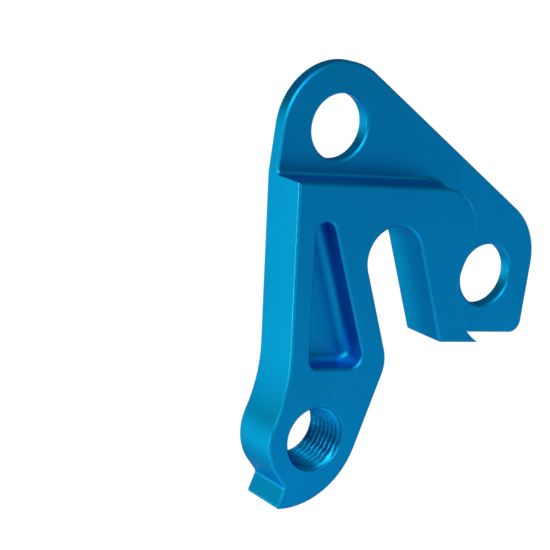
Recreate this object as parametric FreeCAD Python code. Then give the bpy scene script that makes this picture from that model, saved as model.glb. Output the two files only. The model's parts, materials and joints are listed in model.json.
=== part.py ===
import FreeCAD, Part
import math
import os

# Bicycle rear dropout, drive side: one aluminium plate, milled to two levels.
# The axle centre is the origin. X points forward along the bicycle, Z points up
# and the outer face looks towards -Y. Sizes are millimetres and degrees.

# Plate
thickness = 8.5
flange_thickness = 2.5
edge_break = 0.3

# Axle slot, open downwards and forwards
axle_diameter = 10.0
axle_clearance = 0.1
slot_lean = 24.0
slot_mouth_radius = 0.5

# Two bolts that hold the flange to the frame
bolt_diameter = 10.0
bolt_clearance = 0.1
bolt_lead_in = 0.3
upper_bolt_back = 9.6
upper_bolt_rise = 18.6
front_bolt_ahead = 24.0
front_bolt_drop = 3.9

# Outline of the flange
lug_radius = 10.2
top_edge_margin = 9.9
top_edge_fall = 31.3
front_edge_x = 33.55
front_corner_radius = 10.4
lower_corner_radius = 2.0
lower_edge_fall = 1.2

# Step between the thick body and the flange
ledge_z = 11.1
ledge_corner_radius = 7.3
relief_radius = 10.5
relief_run_out = 0.9
hook_blunt = 0.1
step_root_radius = 0.8

# Arm that runs down to the derailleur hanger
rear_wall_lean = 7.1
neck_radius = 24.0
arm_corner_radius = 6.0

# Derailleur hanger with its threaded hole
hanger_back = 9.85
hanger_fall = 28.0
thread_diameter = 10.0
thread_lead_in = 0.15
hanger_rim_radius = 8.2
hanger_chin_turn = 43.0
hanger_front_margin = 8.0
hanger_front_lean = 15.3
hanger_drop = 10.95
hanger_nose_radius = 12.4

# Stop tab for the derailleur's tension screw
tab_toe = 1.0
tab_lean = 16.9
tab_root_radius = 0.8
tab_tip_radius = 0.45

# Weight-saving pocket in the outer face of the arm
pocket_rear_margin = 3.35
pocket_front_margin = 4.1
pocket_lower_z = -17.0
pocket_corner_radius = 1.85
pocket_depth = 4.0
pocket_floor_radius = 1.5

# Headings in the side view, turned from +X towards +Z
quarter_turn = math.degrees(math.pi / 2)
forward = 0.0
up = forward + quarter_turn
rearward = up + quarter_turn
down = rearward + quarter_turn

# How far a cutter runs past the faces it cuts, and how close counts as touching
overrun = 5.0
far = 80.0
touching = 1e-6

# Edges that meet at less than this turn are smooth and get no edge break
smooth_turn = 20.0

front_face = -thickness / 2
back_face = thickness / 2
flange_face = back_face - flange_thickness
slot_half = (axle_diameter + axle_clearance) / 2
bolt_hole_radius = (bolt_diameter + bolt_clearance) / 2
thread_radius = thread_diameter / 2
axle = (0.0, 0.0)
upper_bolt = (-upper_bolt_back, upper_bolt_rise)
front_bolt = (front_bolt_ahead, -front_bolt_drop)
hanger_hole = (-hanger_back, -hanger_fall)
rear_edge_x = upper_bolt[0] - lug_radius
lower_edge_z = front_bolt[1] - relief_radius + relief_run_out


def heading(angle):
    """Unit direction in the side view."""
    turn = math.radians(angle)
    return (math.cos(turn), math.sin(turn))


def moved(point, direction, distance):
    return (point[0] + direction[0] * distance, point[1] + direction[1] * distance)


def meeting(line_a, line_b):
    """Crossing of two lines of the side view, each a point and a heading."""
    point_a, heading_a = line_a
    point_b, heading_b = line_b
    cross = heading_a[0] * heading_b[1] - heading_a[1] * heading_b[0]
    gap_x = point_b[0] - point_a[0]
    gap_z = point_b[1] - point_a[1]
    reach = (gap_x * heading_b[1] - gap_z * heading_b[0]) / cross
    return moved(point_a, heading_a, reach)


def beside(point, facing, distance):
    """Line at a distance from a point, on the side that the angle faces."""
    return (moved(point, heading(facing), distance), heading(facing + quarter_turn))


def on_circle(centre, radius, angle):
    return moved(centre, heading(angle), radius)


def in_space(point, y):
    return FreeCAD.Vector(point[0], y, point[1])


def prism(edges, y_start, y_end):
    face = Part.Face(Part.Wire(edges))
    return face.extrude(FreeCAD.Vector(0, y_end - y_start, 0))


def rounded_prism(corners, y_start, y_end):
    """Prism over a closed outline of (corner point, corner radius)."""
    arcs = []
    for index, (point, radius) in enumerate(corners):
        corner = in_space(point, y_start)
        before = in_space(corners[index - 1][0], y_start)
        after = in_space(corners[(index + 1) % len(corners)][0], y_start)
        back = (before - corner).normalize()
        onward = (after - corner).normalize()
        half_angle = back.getAngle(onward) / 2
        inward = (back + onward).normalize()
        setback = radius / math.tan(half_angle)
        middle = corner + inward * (radius / math.sin(half_angle) - radius)
        arcs.append((corner + back * setback, middle, corner + onward * setback))
    edges = []
    for index, (start, middle, end) in enumerate(arcs):
        last_end = arcs[index - 1][2]
        if not last_end.isEqual(start, touching):
            edges.append(Part.makeLine(last_end, start))
        if not start.isEqual(end, touching):
            edges.append(Part.Arc(start, middle, end).toShape())
    return prism(edges, y_start, y_end)


def bore(centre, radius, mouth, lead_in):
    """Round hole through the plate, with a conical lead-in at both faces."""
    inward = FreeCAD.Vector(0, 1, 0)
    hole = Part.makeCylinder(radius, thickness + 2 * overrun, in_space(centre, mouth - overrun), inward)
    wide = radius + 2 * lead_in
    front_cone = Part.makeCone(wide, radius, 2 * lead_in, in_space(centre, mouth - lead_in), inward)
    back_cone = Part.makeCone(wide, radius, 2 * lead_in, in_space(centre, back_face + lead_in), inward * -1)
    return hole.fuse([front_cone, back_cone])


def neck_facing():
    """Where the concave neck leaves the hanger's round rim, touching the rear wall above."""
    across = heading(rear_wall_lean)
    wall_point = (rear_edge_x, ledge_z)
    gap_x = hanger_hole[0] - wall_point[0]
    gap_z = hanger_hole[1] - wall_point[1]
    hole_inset = gap_x * across[0] + gap_z * across[1]
    swing = math.acos((neck_radius + hole_inset) / (neck_radius + hanger_rim_radius))
    return rearward + rear_wall_lean - math.degrees(swing)


# Straight lines of the outline, named for the edge they carry
top_edge = beside(upper_bolt, up - top_edge_fall, top_edge_margin)
front_edge = ((front_edge_x, 0.0), heading(up))
lower_edge = ((front_bolt[0], lower_edge_z), heading(forward - lower_edge_fall))
slot_front_wall = beside(axle, slot_lean, slot_half)
slot_rear_wall = beside(axle, slot_lean + rearward, slot_half)
hanger_front = beside(hanger_hole, -hanger_front_lean, hanger_front_margin)
hanger_bottom = ((0.0, hanger_hole[1] - hanger_drop), heading(forward))
hanger_chin = beside(hanger_hole, rearward + hanger_chin_turn, hanger_rim_radius)
hanger_neck = beside(hanger_hole, neck_facing(), hanger_rim_radius)
rear_edge = ((rear_edge_x, 0.0), heading(up))
rear_wall = ((rear_edge_x, ledge_z), heading(up + rear_wall_lean))


def slot_end(side):
    """Square corner of the slot's closed end, on the front or rear wall."""
    wall_point = moved(axle, heading(slot_lean), side * slot_half)
    return moved(wall_point, heading(slot_lean + quarter_turn), slot_half)


def tab_tip():
    nose = meeting(hanger_front, hanger_bottom)
    setback = hanger_nose_radius / math.tan(math.radians(quarter_turn + hanger_front_lean) / 2)
    return moved(nose, heading(rearward), setback + tab_toe)


def full_plate():
    """Whole side view at full thickness, slot and hanger included."""
    tip = tab_tip()
    tab_face = (tip, heading(up - tab_lean))
    corners = [
        (meeting(rear_edge, top_edge), lug_radius),
        (meeting(top_edge, front_edge), front_corner_radius),
        (meeting(front_edge, lower_edge), lower_corner_radius),
        (meeting(lower_edge, slot_front_wall), slot_mouth_radius),
        (slot_end(1), slot_half),
        (slot_end(-1), slot_half),
        (meeting(slot_rear_wall, hanger_front), arm_corner_radius),
        (meeting(hanger_front, hanger_bottom), hanger_nose_radius),
        (tip, tab_tip_radius),
        (meeting(tab_face, hanger_chin), tab_root_radius),
        (meeting(hanger_chin, hanger_neck), hanger_rim_radius),
        (meeting(hanger_neck, rear_wall), neck_radius),
        ((rear_edge_x, ledge_z), 0),
    ]
    return rounded_prism(corners, front_face, back_face)


def step_cutter():
    """Takes the outer face down to the flange, above the ledge and round the front bolt."""
    centre_z = ledge_z - ledge_corner_radius
    reach = ledge_corner_radius + relief_radius
    rise = centre_z - front_bolt[1]
    centre = (front_bolt[0] - math.sqrt(reach ** 2 - rise ** 2), centre_z)
    swing = -math.degrees(math.asin(rise / reach))
    ledge_end = on_circle(centre, ledge_corner_radius, up)
    corner_middle = on_circle(centre, ledge_corner_radius, (up + swing) / 2)
    bend = on_circle(centre, ledge_corner_radius, swing)
    relief_middle = on_circle(front_bolt, relief_radius, (rearward + swing + down) / 2)
    relief_end = on_circle(front_bolt, relief_radius, down)
    outline = [(-far, ledge_z), ledge_end, bend, relief_end, (far, relief_end[1])]
    start, ledge_end, bend, relief_end, exit_point = [in_space(p, flange_face) for p in outline]
    upper_right = in_space((far, far), flange_face)
    upper_left = in_space((-far, far), flange_face)
    wall_edges = [
        Part.makeLine(start, ledge_end),
        Part.Arc(ledge_end, in_space(corner_middle, flange_face), bend).toShape(),
        Part.Arc(bend, in_space(relief_middle, flange_face), relief_end).toShape(),
        Part.makeLine(relief_end, exit_point),
    ]
    outer_edges = [
        Part.makeLine(exit_point, upper_right),
        Part.makeLine(upper_right, upper_left),
        Part.makeLine(upper_left, start),
    ]
    cutter = prism(wall_edges + outer_edges, flange_face, front_face - overrun)
    roots = [edge for edge in flat_edges(cutter, flange_face) if edge_is_on(edge, wall_edges)]
    return cutter.makeFillet(step_root_radius, roots)


def hook_cutter():
    """Blunts the thin tip where the relief runs out through the lower edge."""
    drop = (front_bolt[1] - lower_edge_z - hook_blunt) * math.cos(math.radians(lower_edge_fall))
    below_bolt = moved(front_bolt, heading(down - lower_edge_fall), drop)
    half_chord = math.sqrt(relief_radius ** 2 - drop ** 2)
    tip = moved(below_bolt, heading(rearward - lower_edge_fall), half_chord)
    corner = FreeCAD.Vector(tip[0], front_face - overrun, tip[1] - overrun)
    depth = flange_face - front_face + overrun
    return Part.makeBox(front_bolt[0] - tip[0], depth, overrun, corner)


def pocket_cutter():
    """Wedge-shaped pocket, its sides along the rear wall and the slot."""
    rear_side = beside(rear_wall[0], rear_wall_lean, pocket_rear_margin)
    front_side = beside(axle, slot_lean + rearward, slot_half + pocket_front_margin)
    lower_side = ((0.0, pocket_lower_z), heading(forward))
    corners = [
        (meeting(rear_side, front_side), pocket_corner_radius),
        (meeting(front_side, lower_side), pocket_corner_radius),
        (meeting(lower_side, rear_side), pocket_corner_radius),
    ]
    floor = front_face + pocket_depth
    cutter = rounded_prism(corners, floor, front_face - overrun)
    return cutter.makeFillet(pocket_floor_radius, flat_edges(cutter, floor))


def flat_edges(shape, y):
    """Edges that lie in the plane at this depth."""
    found = []
    for edge in shape.Edges:
        box = edge.BoundBox
        if abs(box.YMin - y) < touching and abs(box.YMax - y) < touching:
            found.append(edge)
    return found


def edge_is_on(edge, paths):
    middle = Part.Vertex(edge.valueAt((edge.FirstParameter + edge.LastParameter) / 2))
    return min(path.distToShape(middle)[0] for path in paths) < touching


def is_sharp(shape, edge):
    """True where the two faces beside an edge meet at a turn."""
    middle = edge.valueAt((edge.FirstParameter + edge.LastParameter) / 2)
    normals = []
    for face in shape.ancestorsOfType(edge, Part.Face):
        normals.append(face.normalAt(*face.Surface.parameter(middle)))
    return math.degrees(normals[0].getAngle(normals[1])) > smooth_turn


def rims(shape):
    """Sharp edges of the outer face, the flange's outer face and the inner face."""
    found = []
    for y in (front_face, flange_face, back_face):
        found += [edge for edge in flat_edges(shape, y) if is_sharp(shape, edge)]
    return found


def dropout():
    body = full_plate()
    body = body.cut(step_cutter())
    body = body.cut(pocket_cutter())
    body = body.makeChamfer(edge_break, rims(body))
    body = body.cut(hook_cutter())
    body = body.cut(bore(upper_bolt, bolt_hole_radius, flange_face, bolt_lead_in))
    body = body.cut(bore(front_bolt, bolt_hole_radius, flange_face, bolt_lead_in))
    body = body.cut(bore(hanger_hole, thread_radius, front_face, thread_lead_in))
    return body.Solids[0]


os.makedirs("parts", exist_ok=True)
part = dropout()
part.exportStep("parts/dropout.step")
print("dropout", part.isValid(), "volume", round(part.Volume, 1), part.BoundBox)
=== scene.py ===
# %% [markdown]
# # A machined bicycle dropout
#
# A dropout is the plate at the rear corner of a bicycle frame that holds the wheel's axle. This one
# is milled from a single block of aluminium, blasted with fine beads and anodised blue. The solid
# comes ready made from its CAD source, so the lesson is about three things: placing the camera where
# the photograph was taken, giving the metal its satin finish, and lighting it so that every milled
# level can be read.

# %% Load the milled plate
import json
import math

import bmesh
import bpy
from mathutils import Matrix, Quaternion, Vector

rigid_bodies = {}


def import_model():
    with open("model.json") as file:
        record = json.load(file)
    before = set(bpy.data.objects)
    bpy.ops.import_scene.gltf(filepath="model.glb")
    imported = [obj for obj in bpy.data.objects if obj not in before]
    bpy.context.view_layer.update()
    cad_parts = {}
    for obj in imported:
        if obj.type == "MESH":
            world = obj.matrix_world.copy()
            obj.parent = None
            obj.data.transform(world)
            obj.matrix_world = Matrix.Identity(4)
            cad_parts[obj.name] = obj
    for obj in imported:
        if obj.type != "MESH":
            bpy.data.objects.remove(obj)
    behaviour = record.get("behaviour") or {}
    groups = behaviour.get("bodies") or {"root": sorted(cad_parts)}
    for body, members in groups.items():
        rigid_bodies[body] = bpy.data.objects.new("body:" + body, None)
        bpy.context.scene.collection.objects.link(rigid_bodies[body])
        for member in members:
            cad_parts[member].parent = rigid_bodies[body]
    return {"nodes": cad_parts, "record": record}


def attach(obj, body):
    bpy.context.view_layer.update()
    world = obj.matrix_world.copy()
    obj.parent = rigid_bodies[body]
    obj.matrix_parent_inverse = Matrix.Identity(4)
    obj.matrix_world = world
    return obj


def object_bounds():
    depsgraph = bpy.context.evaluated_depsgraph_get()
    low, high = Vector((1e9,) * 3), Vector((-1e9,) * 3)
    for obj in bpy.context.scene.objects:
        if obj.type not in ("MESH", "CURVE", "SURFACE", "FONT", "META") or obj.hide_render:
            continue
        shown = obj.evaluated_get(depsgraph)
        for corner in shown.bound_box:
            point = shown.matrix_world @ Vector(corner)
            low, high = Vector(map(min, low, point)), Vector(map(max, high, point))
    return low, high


MM = 0.001

for leftover in list(bpy.data.objects):
    bpy.data.objects.remove(leftover)

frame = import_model()
plate = frame["nodes"]["dropout"]
cad_low, cad_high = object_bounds()
print("plate", [round(side / MM, 2) for side in cad_high - cad_low], "mm")

# %% [markdown]
# ## The camera
#
# The photograph was taken from the plate's rear left, a little above it, with the camera tipped
# over by a few degrees. One could nudge a camera until it looks right, but a few numbers that mean
# something are easier to keep: the point it looks at, how far round and how high it stands, how far
# away it is, its roll and its lens.

# %% Set up the camera
look_at = Vector((-11.15, 10.45, -6.25)) * MM
camera_round = math.radians(-35.87)
camera_height = math.radians(11.76)
camera_roll = math.radians(8.55)
camera_distance = 280.57 * MM
lens_mm = 119.13
sensor_mm = 36.0
nearest_seen = 10 * MM

towards_camera = Vector((
    math.sin(camera_round) * math.cos(camera_height),
    -math.cos(camera_round) * math.cos(camera_height),
    math.sin(camera_height),
))
camera = bpy.data.objects.new("camera", bpy.data.cameras.new("camera"))
camera.data.sensor_width = sensor_mm
camera.data.lens = lens_mm
camera.data.clip_start = nearest_seen
camera.rotation_mode = "QUATERNION"
camera.location = look_at + towards_camera * camera_distance
upright = (-towards_camera).to_track_quat("-Z", "Y")
camera.rotation_quaternion = upright @ Quaternion((0, 0, 1), camera_roll)
bpy.context.scene.collection.objects.link(camera)
bpy.context.scene.camera = camera
bpy.context.scene.view_settings.view_transform = "Standard"
print("camera at", [round(place / MM, 1) for place in camera.location], "mm")

# %% [markdown]
# ## Writing colours and nodes
#
# A colour is easiest to read as the hex value a paint program shows, which is sRGB. Shaders work
# with linear light, so one function turns the first into the second. A second small function adds a
# shader node, sets its inputs and draws its links, which keeps each material down to a list of what
# it is.

# %% Helpers for colours and nodes
def linear(hex_colour):
    """sRGB hex to the linear RGBA that a shader takes."""
    channels = []
    for start in (1, 3, 5):
        value = int(hex_colour[start:start + 2], 16) / 255
        channels.append(value / 12.92 if value <= 0.04045 else ((value + 0.055) / 1.055) ** 2.4)
    return (*channels, 1.0)


def add_node(tree, kind, settings=None, links=None, **values):
    """Adds a node: settings are its properties, values its inputs, links what feeds them."""
    node = tree.nodes.new(kind)
    for name, value in (settings or {}).items():
        setattr(node, name, value)
    for name, value in values.items():
        node.inputs[name.replace("_", " ")].default_value = value
    for name, socket in (links or {}).items():
        tree.links.new(socket, node.inputs[name])
    return node


print("mid grey is", [round(part, 3) for part in linear("#808080")])

# %% [markdown]
# ## Bead-blasted, anodised aluminium
#
# Blasting with fine glass beads leaves the aluminium covered in shallow dimples a fraction of a
# millimetre wide, so it reflects softly, like satin. Anodising then grows a thin clear oxide that
# takes up blue dye. The metal shines through it, so the colour sits in the reflection itself: the
# material is metallic, its base colour is the dye, and light that bounces twice comes out deeper.
#
# The dimples could be modelled, but at their size a bump is enough. The edges of the real plate look
# tumbled slightly round, and a bevelled normal gives the chamfers of the solid that softness. The
# same bevel, set against the flat normal, finds the edges and paints them a little paler: a painted
# highlight along the broken edges.

# %% Make the anodised finish
DYE = "#068CD0"
# Paler colour painted on the edges as a highlight.
EDGE_HIGHLIGHT_COLOUR = "#2CA4DA"
GRAZING_TINT = "#B4DCF8"
# Real dimples are nearer 0.1 mm across. They are drawn coarser, so that they show.
DIMPLE_MM = 0.2
DIMPLE_DEPTH_MM = 0.05
DYE_CLOUD_MM = 9.0
DYE_CLOUD_DEPTH = (0.97, 1.03)
# Most values of a noise texture lie in this range.
NOISE_RANGE = (0.3, 0.7)
EDGE_ROUND_MM = 0.12
EDGE_SAMPLES = 8
# Cosine of the angle between flat and bevelled normal where the painted edge highlight starts and is
# full.
EDGE_HIGHLIGHT_RANGE = (0.99, 0.9)
BLASTED_ROUGHNESS = (0.40, 0.48)
BLASTED_DIMPLES = 0.18


def anodised_aluminium(name, roughness, dimple_strength):
    """Blue metal: fine dimples, an even dye with a trace of cloud, tumbled edges and a painted
    highlight on them.
    """
    material = bpy.data.materials.new(name)
    material.use_nodes = True
    tree = material.node_tree
    tree.nodes.clear()
    place = add_node(tree, "ShaderNodeTexCoord").outputs["Object"]
    flat = add_node(tree, "ShaderNodeNewGeometry").outputs["Normal"]
    rounded = add_node(tree, "ShaderNodeBevel", {"samples": EDGE_SAMPLES},
                       Radius=EDGE_ROUND_MM * MM).outputs["Normal"]
    dimples = add_node(tree, "ShaderNodeTexNoise", links={"Vector": place},
                       Scale=1 / (DIMPLE_MM * MM)).outputs["Fac"]
    clouds = add_node(tree, "ShaderNodeTexNoise", links={"Vector": place},
                      Scale=1 / (DYE_CLOUD_MM * MM)).outputs["Fac"]
    turn = add_node(tree, "ShaderNodeVectorMath", {"operation": "DOT_PRODUCT"})
    tree.links.new(flat, turn.inputs[0])
    tree.links.new(rounded, turn.inputs[1])
    edge_highlight_mask = add_node(tree, "ShaderNodeMapRange", links={"Value": turn.outputs["Value"]},
                    From_Min=EDGE_HIGHLIGHT_RANGE[0], From_Max=EDGE_HIGHLIGHT_RANGE[1])
    # Mixes the paler colour in on the edges: a painted highlight.
    dye = add_node(tree, "ShaderNodeMixRGB", links={"Fac": edge_highlight_mask.outputs["Result"]},
                   Color1=linear(DYE), Color2=linear(EDGE_HIGHLIGHT_COLOUR))
    depth = add_node(tree, "ShaderNodeMapRange", links={"Value": clouds},
                     From_Min=NOISE_RANGE[0], From_Max=NOISE_RANGE[1],
                     To_Min=DYE_CLOUD_DEPTH[0], To_Max=DYE_CLOUD_DEPTH[1])
    colour = add_node(tree, "ShaderNodeHueSaturation",
                      links={"Color": dye.outputs["Color"], "Value": depth.outputs["Result"]})
    satin = add_node(tree, "ShaderNodeMapRange", links={"Value": dimples},
                     From_Min=NOISE_RANGE[0], From_Max=NOISE_RANGE[1],
                     To_Min=roughness[0], To_Max=roughness[1])
    bump = add_node(tree, "ShaderNodeBump", links={"Height": dimples, "Normal": rounded},
                    Strength=dimple_strength, Distance=DIMPLE_DEPTH_MM * MM)
    metal = add_node(tree, "ShaderNodeBsdfPrincipled",
                     links={"Base Color": colour.outputs["Color"],
                            "Roughness": satin.outputs["Result"],
                            "Normal": bump.outputs["Normal"]},
                     Metallic=1.0, Specular_Tint=linear(GRAZING_TINT))
    add_node(tree, "ShaderNodeOutputMaterial", links={"Surface": metal.outputs["BSDF"]})
    return material


anodised = anodised_aluminium(
    "bead_blasted_anodised_aluminium", BLASTED_ROUGHNESS, BLASTED_DIMPLES)
plate.data.materials.clear()
plate.data.materials.append(anodised)
print("finish", anodised.name, "on", plate.name)

# %% [markdown]
# ## The form of the hanger's thread
#
# The derailleur screws into the hole at the bottom of the arm, an M10 thread with a pitch of 1 mm.
# The solid has a plain bore at the thread's outside diameter, and the ridges are fine enough to
# leave to this model. A screw modifier could sweep one tooth round, but its ends would be cut off
# square. Here each point of a sleeve gets its radius from the thread's own form: flat crests,
# sloping flanks and a countersink at both faces, into which the ridges run out as a tap leaves them.

# %% Work out the thread's radius
hanger = next(mount for mount in frame["record"]["mounts"] if mount["name"] == "hanger_thread")
hanger_centre = Vector(hanger["pos_m"])
thread_major = hanger["dims"]["r_mm"] * MM
thread_length = hanger["dims"]["length_mm"] * MM
pitch = 1.0 * MM
ridge_height = 0.54 * MM
crest_share = 0.25
root_share = 0.125
countersink_rim = 5.2 * MM
plate_half = (cad_high.y - cad_low.y) / 2
# Keeps the thread's roots just inside the wall of the bore.
hairline = 0.004 * MM


def ridge(turn):
    """Height of the ridge, from 0 in the root to 1 on the crest, across one pitch."""
    across = abs(turn % 1.0 - 0.5) * 2
    flank = 1.0 - crest_share - root_share
    return min(1.0, max(0.0, (1.0 - crest_share - across) / flank))


def thread_radius(along, turn):
    """Inner radius of the sleeve at a place along the bore and a part of a turn round it."""
    cut = thread_major - hairline - ridge_height * ridge(along / pitch - turn)
    from_face = plate_half - abs(along)
    countersunk = countersink_rim - from_face
    return min(thread_major - hairline, max(cut, countersunk))


root_and_crest = [thread_radius(0, 0), thread_radius(0, 0.5)]
print("thread's root and crest", [round(radius / MM, 2) for radius in root_and_crest], "mm")

# %% [markdown]
# ## Cutting the thread
#
# The sleeve is a closed tube with the ridges on its inside and its plain outside sunk in the metal,
# where it isn't seen. The real hole is plugged while the plate is blasted, so the ridges keep the
# smooth cut of the tap. Under the same dye they glint where the blasted faces only shine softly, so
# the sleeve takes the same finish with less roughness and fainter dimples.

# %% Cut the thread
TAPPED_ROUGHNESS = (0.26, 0.32)
TAPPED_DIMPLES = 0.06
sleeve_wall = 0.25 * MM
steps_round = 96
steps_per_pitch = 16
sharp_edge = math.radians(40)


def hanger_thread():
    """Closed sleeve in the bore, with the ridges on its inside."""
    shape = bmesh.new()
    rows = round(thread_length / pitch * steps_per_pitch)
    inner = []
    outer = []
    for row in range(rows + 1):
        along = thread_length * (row / rows - 0.5)
        inner.append([])
        outer.append([])
        for step in range(steps_round):
            turn = step / steps_round
            out = Vector((math.cos(2 * math.pi * turn), 0, math.sin(2 * math.pi * turn)))
            middle = hanger_centre + Vector((0, along, 0))
            inner[row].append(shape.verts.new(middle + out * thread_radius(along, turn)))
            outer[row].append(shape.verts.new(middle + out * (thread_major + sleeve_wall)))
    for step in range(steps_round):
        after = (step + 1) % steps_round
        for row in range(rows):
            shape.faces.new((inner[row][step], inner[row][after],
                             inner[row + 1][after], inner[row + 1][step]))
            shape.faces.new((outer[row][step], outer[row + 1][step],
                             outer[row + 1][after], outer[row][after]))
        shape.faces.new((inner[0][step], outer[0][step], outer[0][after], inner[0][after]))
        shape.faces.new((inner[rows][step], inner[rows][after],
                         outer[rows][after], outer[rows][step]))
    bmesh.ops.recalc_face_normals(shape, faces=shape.faces)
    mesh = bpy.data.meshes.new("hanger_thread")
    shape.to_mesh(mesh)
    shape.free()
    mesh.polygons.foreach_set("use_smooth", [True] * len(mesh.polygons))
    mesh.set_sharp_from_angle(angle=sharp_edge)
    return bpy.data.objects.new("hanger_thread", mesh)


tapped = anodised_aluminium("tapped_anodised_aluminium", TAPPED_ROUGHNESS, TAPPED_DIMPLES)
thread = hanger_thread()
thread.data.materials.append(tapped)
bpy.context.scene.collection.objects.link(thread)
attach(thread, "root")
print("thread", round(thread_length / pitch, 1), "pitches,", len(thread.data.polygons), "faces")

# %% [markdown]
# ## Floor and backdrop
#
# Small metal parts are often shot above a sheet of white paper that curves up behind them. Metal
# shows what is round it, so the paper matters more than the lamps: faces that look down at it come
# out bright, and faces that look up into the dark room come out deep blue. A flat plane with a white
# world would be simpler, but then the metal would look flat too, so this sweep is a round bowl of
# paper, made by turning one profile.

# %% Lay the paper sweep
# Sizes in metres, then the steps in which the curves are drawn.
floor_drop = 0.26
floor_radius = 1.9
sweep_radius = 0.45
rim_height = 1.1
steps_of_bend = 12
steps_of_bowl = 96


def paper_sweep():
    """Round floor that bends up into a wall, made by turning one profile."""
    floor_z = cad_low.z - floor_drop
    profile = [(floor_radius, floor_z)]
    for step in range(1, steps_of_bend + 1):
        bend = math.pi / 2 * step / steps_of_bend
        out = floor_radius + sweep_radius * math.sin(bend)
        profile.append((out, floor_z + sweep_radius * (1 - math.cos(bend))))
    profile.append((floor_radius + sweep_radius, rim_height))
    shape = bmesh.new()
    middle = shape.verts.new((0, 0, floor_z))
    rings = []
    for out, height in profile:
        ring = []
        for step in range(steps_of_bowl):
            turn = 2 * math.pi * step / steps_of_bowl
            ring.append(shape.verts.new((out * math.cos(turn), out * math.sin(turn), height)))
        rings.append(ring)
    for step in range(steps_of_bowl):
        after = (step + 1) % steps_of_bowl
        shape.faces.new((middle, rings[0][step], rings[0][after]))
        for lower, upper in zip(rings, rings[1:]):
            shape.faces.new((lower[step], upper[step], upper[after], lower[after]))
    mesh = bpy.data.meshes.new("paper_sweep")
    shape.to_mesh(mesh)
    shape.free()
    mesh.polygons.foreach_set("use_smooth", [True] * len(mesh.polygons))
    return bpy.data.objects.new("paper_sweep", mesh)


sweep = paper_sweep()
bpy.context.scene.collection.objects.link(sweep)
print("paper floor", round(floor_drop / MM), "mm under the plate")

# %% [markdown]
# ## Matt white paper with a painted glow
#
# Uncoated paper scatters light evenly and has no shine, so its surface is plain diffuse. To the
# camera and to the metal it also glows. Stronger lamps could make it white too, but they would burn
# out the plate. The glow is painted light and shade: white at the back and just in front of the
# plate, grey behind the plate and where the paper runs on towards the viewer, and fading up the rim.
# The painted grey bands give the flat faces their deeper blue.

# %% Make the paper
PAPER_GREY = "#8C8C8C"
# Bearing from +X along which the painted tone changes, then metres along it and the brightness
# there.
paper_bearing = math.radians(54)
painted_paper_tones = ((-1.1, 0.4), (-0.45, 0.52), (-0.1, 1.0), (0.2, 0.36), (0.45, 0.5), (0.6, 1.0))
# Heights in metres between which the glow fades.
paper_light_below = -0.06
paper_dark_above = 0.21


def paper_material():
    """Matt paper that takes a shadow and glows for the eye and the metal, in painted white and grey
    bands.
    """
    material = bpy.data.materials.new("matt_paper_with_painted_glow")
    material.use_nodes = True
    tree = material.node_tree
    tree.nodes.clear()
    place = add_node(tree, "ShaderNodeNewGeometry").outputs["Position"]
    behind = add_node(tree, "ShaderNodeVectorMath", {"operation": "DOT_PRODUCT"},
                      {"Vector": place})
    behind.inputs[1].default_value = (math.cos(paper_bearing), math.sin(paper_bearing), 0)
    nearest, farthest = painted_paper_tones[0][0], painted_paper_tones[-1][0]
    across = add_node(tree, "ShaderNodeMapRange", links={"Value": behind.outputs["Value"]},
                      From_Min=nearest, From_Max=farthest)
    tone = add_node(tree, "ShaderNodeValToRGB", links={"Fac": across.outputs["Result"]})
    for metres, _ in painted_paper_tones[1:-1]:
        tone.color_ramp.elements.new((metres - nearest) / (farthest - nearest))
    for stop, (_, brightness) in zip(tone.color_ramp.elements, painted_paper_tones):
        stop.color = (brightness, brightness, brightness, 1.0)
    height = add_node(tree, "ShaderNodeSeparateXYZ", links={"Vector": place}).outputs["Z"]
    shade = add_node(tree, "ShaderNodeMapRange", {"interpolation_type": "SMOOTHSTEP"},
                     {"Value": height}, From_Min=paper_light_below, From_Max=paper_dark_above,
                     To_Min=1.0, To_Max=0.0)
    ray = add_node(tree, "ShaderNodeLightPath").outputs
    seen = add_node(tree, "ShaderNodeMath", {"operation": "MAXIMUM"})
    tree.links.new(ray["Is Camera Ray"], seen.inputs[0])
    tree.links.new(ray["Is Glossy Ray"], seen.inputs[1])
    shown = add_node(tree, "ShaderNodeMath", {"operation": "MAXIMUM"})
    tree.links.new(seen.outputs["Value"], shown.inputs[0])
    tree.links.new(ray["Is Transmission Ray"], shown.inputs[1])
    strength = add_node(tree, "ShaderNodeMath", {"operation": "MULTIPLY"})
    tree.links.new(shade.outputs["Result"], strength.inputs[0])
    tree.links.new(shown.outputs["Value"], strength.inputs[1])
    glow = add_node(tree, "ShaderNodeEmission",
                    links={"Color": tone.outputs["Color"], "Strength": strength.outputs["Value"]})
    paper = add_node(tree, "ShaderNodeBsdfDiffuse", Color=linear(PAPER_GREY))
    both = add_node(tree, "ShaderNodeAddShader")
    tree.links.new(glow.outputs["Emission"], both.inputs[0])
    tree.links.new(paper.outputs["BSDF"], both.inputs[1])
    add_node(tree, "ShaderNodeOutputMaterial", links={"Surface": both.outputs["Shader"]})
    return material


sweep.data.materials.append(paper_material())
print("paper", sweep.data.materials[0].name, "with", len(painted_paper_tones), "tones")

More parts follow.
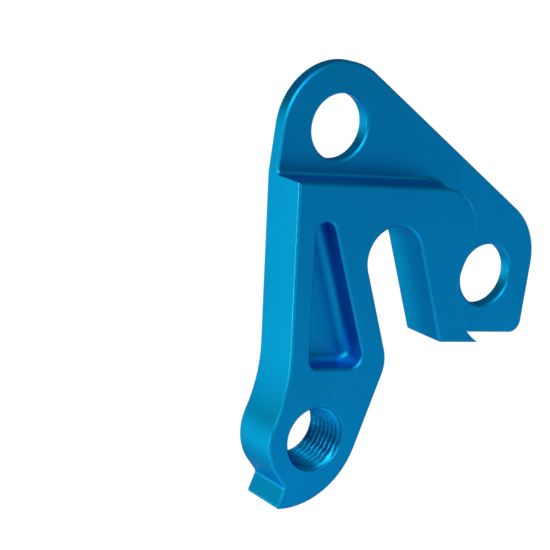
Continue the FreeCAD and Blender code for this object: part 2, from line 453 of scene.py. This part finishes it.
# %% [markdown]
# ## Light
#
# A warm soft box stands low on the left and makes the plate's rear wall, the neck and the rim of the
# hanger shine. Two more, nearer the camera and higher, draw the thin bright lines along the broken
# edges. One in front and above finds the rounded bottom of the pocket, one behind reaches into the
# holes, and a weak one on the right keeps the edges that face it from going dark. One big lamp would
# be simpler, but it would light all these edges alike. The room itself gives only a dim grey.

# %% Hang the lamps
WARM_WHITE = "#FFE2AC"
SOFT_WHITE = "#FFF2DC"
# Side of each box and its distance from the plate, in metres.
lamp_side = 0.26
lamp_distance = 0.6
# Name, bearing from +X and rise in degrees, power in watts, colour.
soft_boxes = (
    ("left_soft_box", 165, -30, 6.5, WARM_WHITE),
    ("edge_soft_box", -152, 22, 1.4, SOFT_WHITE),
    ("high_soft_box", -128, 40, 1.0, SOFT_WHITE),
    ("front_soft_box", -87, 45, 0.6, SOFT_WHITE),
    ("back_soft_box", 121, 4, 0.25, WARM_WHITE),
    ("right_soft_box", 16, 9, 0.4, SOFT_WHITE),
)

for name, bearing_degrees, rise_degrees, power, colour in soft_boxes:
    bearing = math.radians(bearing_degrees)
    rise = math.radians(rise_degrees)
    place = Vector((
        math.cos(rise) * math.cos(bearing),
        math.cos(rise) * math.sin(bearing),
        math.sin(rise),
    ))
    lamp = bpy.data.lights.new(name, "AREA")
    lamp.size = lamp_side
    lamp.energy = power
    lamp.color = linear(colour)[:3]
    holder = bpy.data.objects.new(name, lamp)
    holder.location = place * lamp_distance
    holder.rotation_mode = "QUATERNION"
    holder.rotation_quaternion = (-place).to_track_quat("-Z", "Y")
    holder.visible_camera = False
    bpy.context.scene.collection.objects.link(holder)
    print("lamp", holder.name, power, "W")

# %% Dim the room
ROOM_WHITE = "#FFFFFF"
room_strength = 0.285

room = bpy.data.worlds.new("dim_room")
room.use_nodes = True
background = room.node_tree.nodes["Background"].inputs
background["Color"].default_value = linear(ROOM_WHITE)
background["Strength"].default_value = room_strength
bpy.context.scene.world = room
print("room", room.name, "at a strength of", room_strength)
